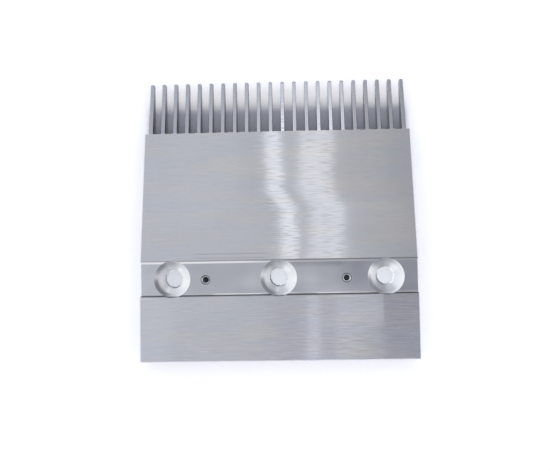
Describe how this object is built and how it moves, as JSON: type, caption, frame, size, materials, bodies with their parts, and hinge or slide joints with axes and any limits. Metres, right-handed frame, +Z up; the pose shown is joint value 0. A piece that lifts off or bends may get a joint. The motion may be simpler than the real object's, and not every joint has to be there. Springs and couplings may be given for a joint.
{
  "type": "escalator comb plate",
  "caption": "Escalator comb plate in brushed aluminium with a sloping tread, long teeth and a countersunk screw channel.",
  "frame": {"origin": "where the axis of the middle screw hole meets the seat plane", "axes": "+X across the plate to the right, +Y towards the tooth tips, +Z up, out of the walking surface"},
  "size_m": [0.1994, 0.2087, 0.0323],
  "materials": {
    "brushed_tread": "brushed across the plate",
    "milled_channel": "milled, with turned countersinks",
    "milled_teeth": "brushed tops and milled flanks",
    "cast_underside": "as cast, with machined seats"
  },
  "bodies": {
    "root": {"ramp_plate": "brushed_tread", "screw_channel": "milled_channel", "rear_land": "brushed_tread", "screw_boss_left": "cast_underside", "screw_boss_centre": "cast_underside", "screw_boss_right": "cast_underside", "channel_front_wall": "cast_underside", "channel_rear_wall": "cast_underside", "rear_rail": "cast_underside", "cheek_left": "cast_underside", "cheek_right": "cast_underside", "ramp_rib_1": "cast_underside", "ramp_rib_2": "cast_underside", "ramp_rib_3": "cast_underside", "ramp_rib_4": "cast_underside", "rear_rib_1": "cast_underside", "rear_rib_2": "cast_underside", "rear_rib_3": "cast_underside", "rear_rib_4": "cast_underside", "cross_ribs": "cast_underside", "tooth_01": "milled_teeth", "tooth_02": "milled_teeth", "tooth_03": "milled_teeth", "tooth_04": "milled_teeth", "tooth_05": "milled_teeth", "tooth_06": "milled_teeth", "tooth_07": "milled_teeth", "tooth_08": "milled_teeth", "tooth_09": "milled_teeth", "tooth_10": "milled_teeth", "tooth_11": "milled_teeth", "tooth_12": "milled_teeth", "tooth_13": "milled_teeth", "tooth_14": "milled_teeth", "tooth_15": "milled_teeth", "tooth_16": "milled_teeth", "tooth_17": "milled_teeth", "tooth_18": "milled_teeth", "tooth_19": "milled_teeth", "tooth_20": "milled_teeth", "tooth_21": "milled_teeth", "tooth_22": "milled_teeth"}
  },
  "joints": []
}
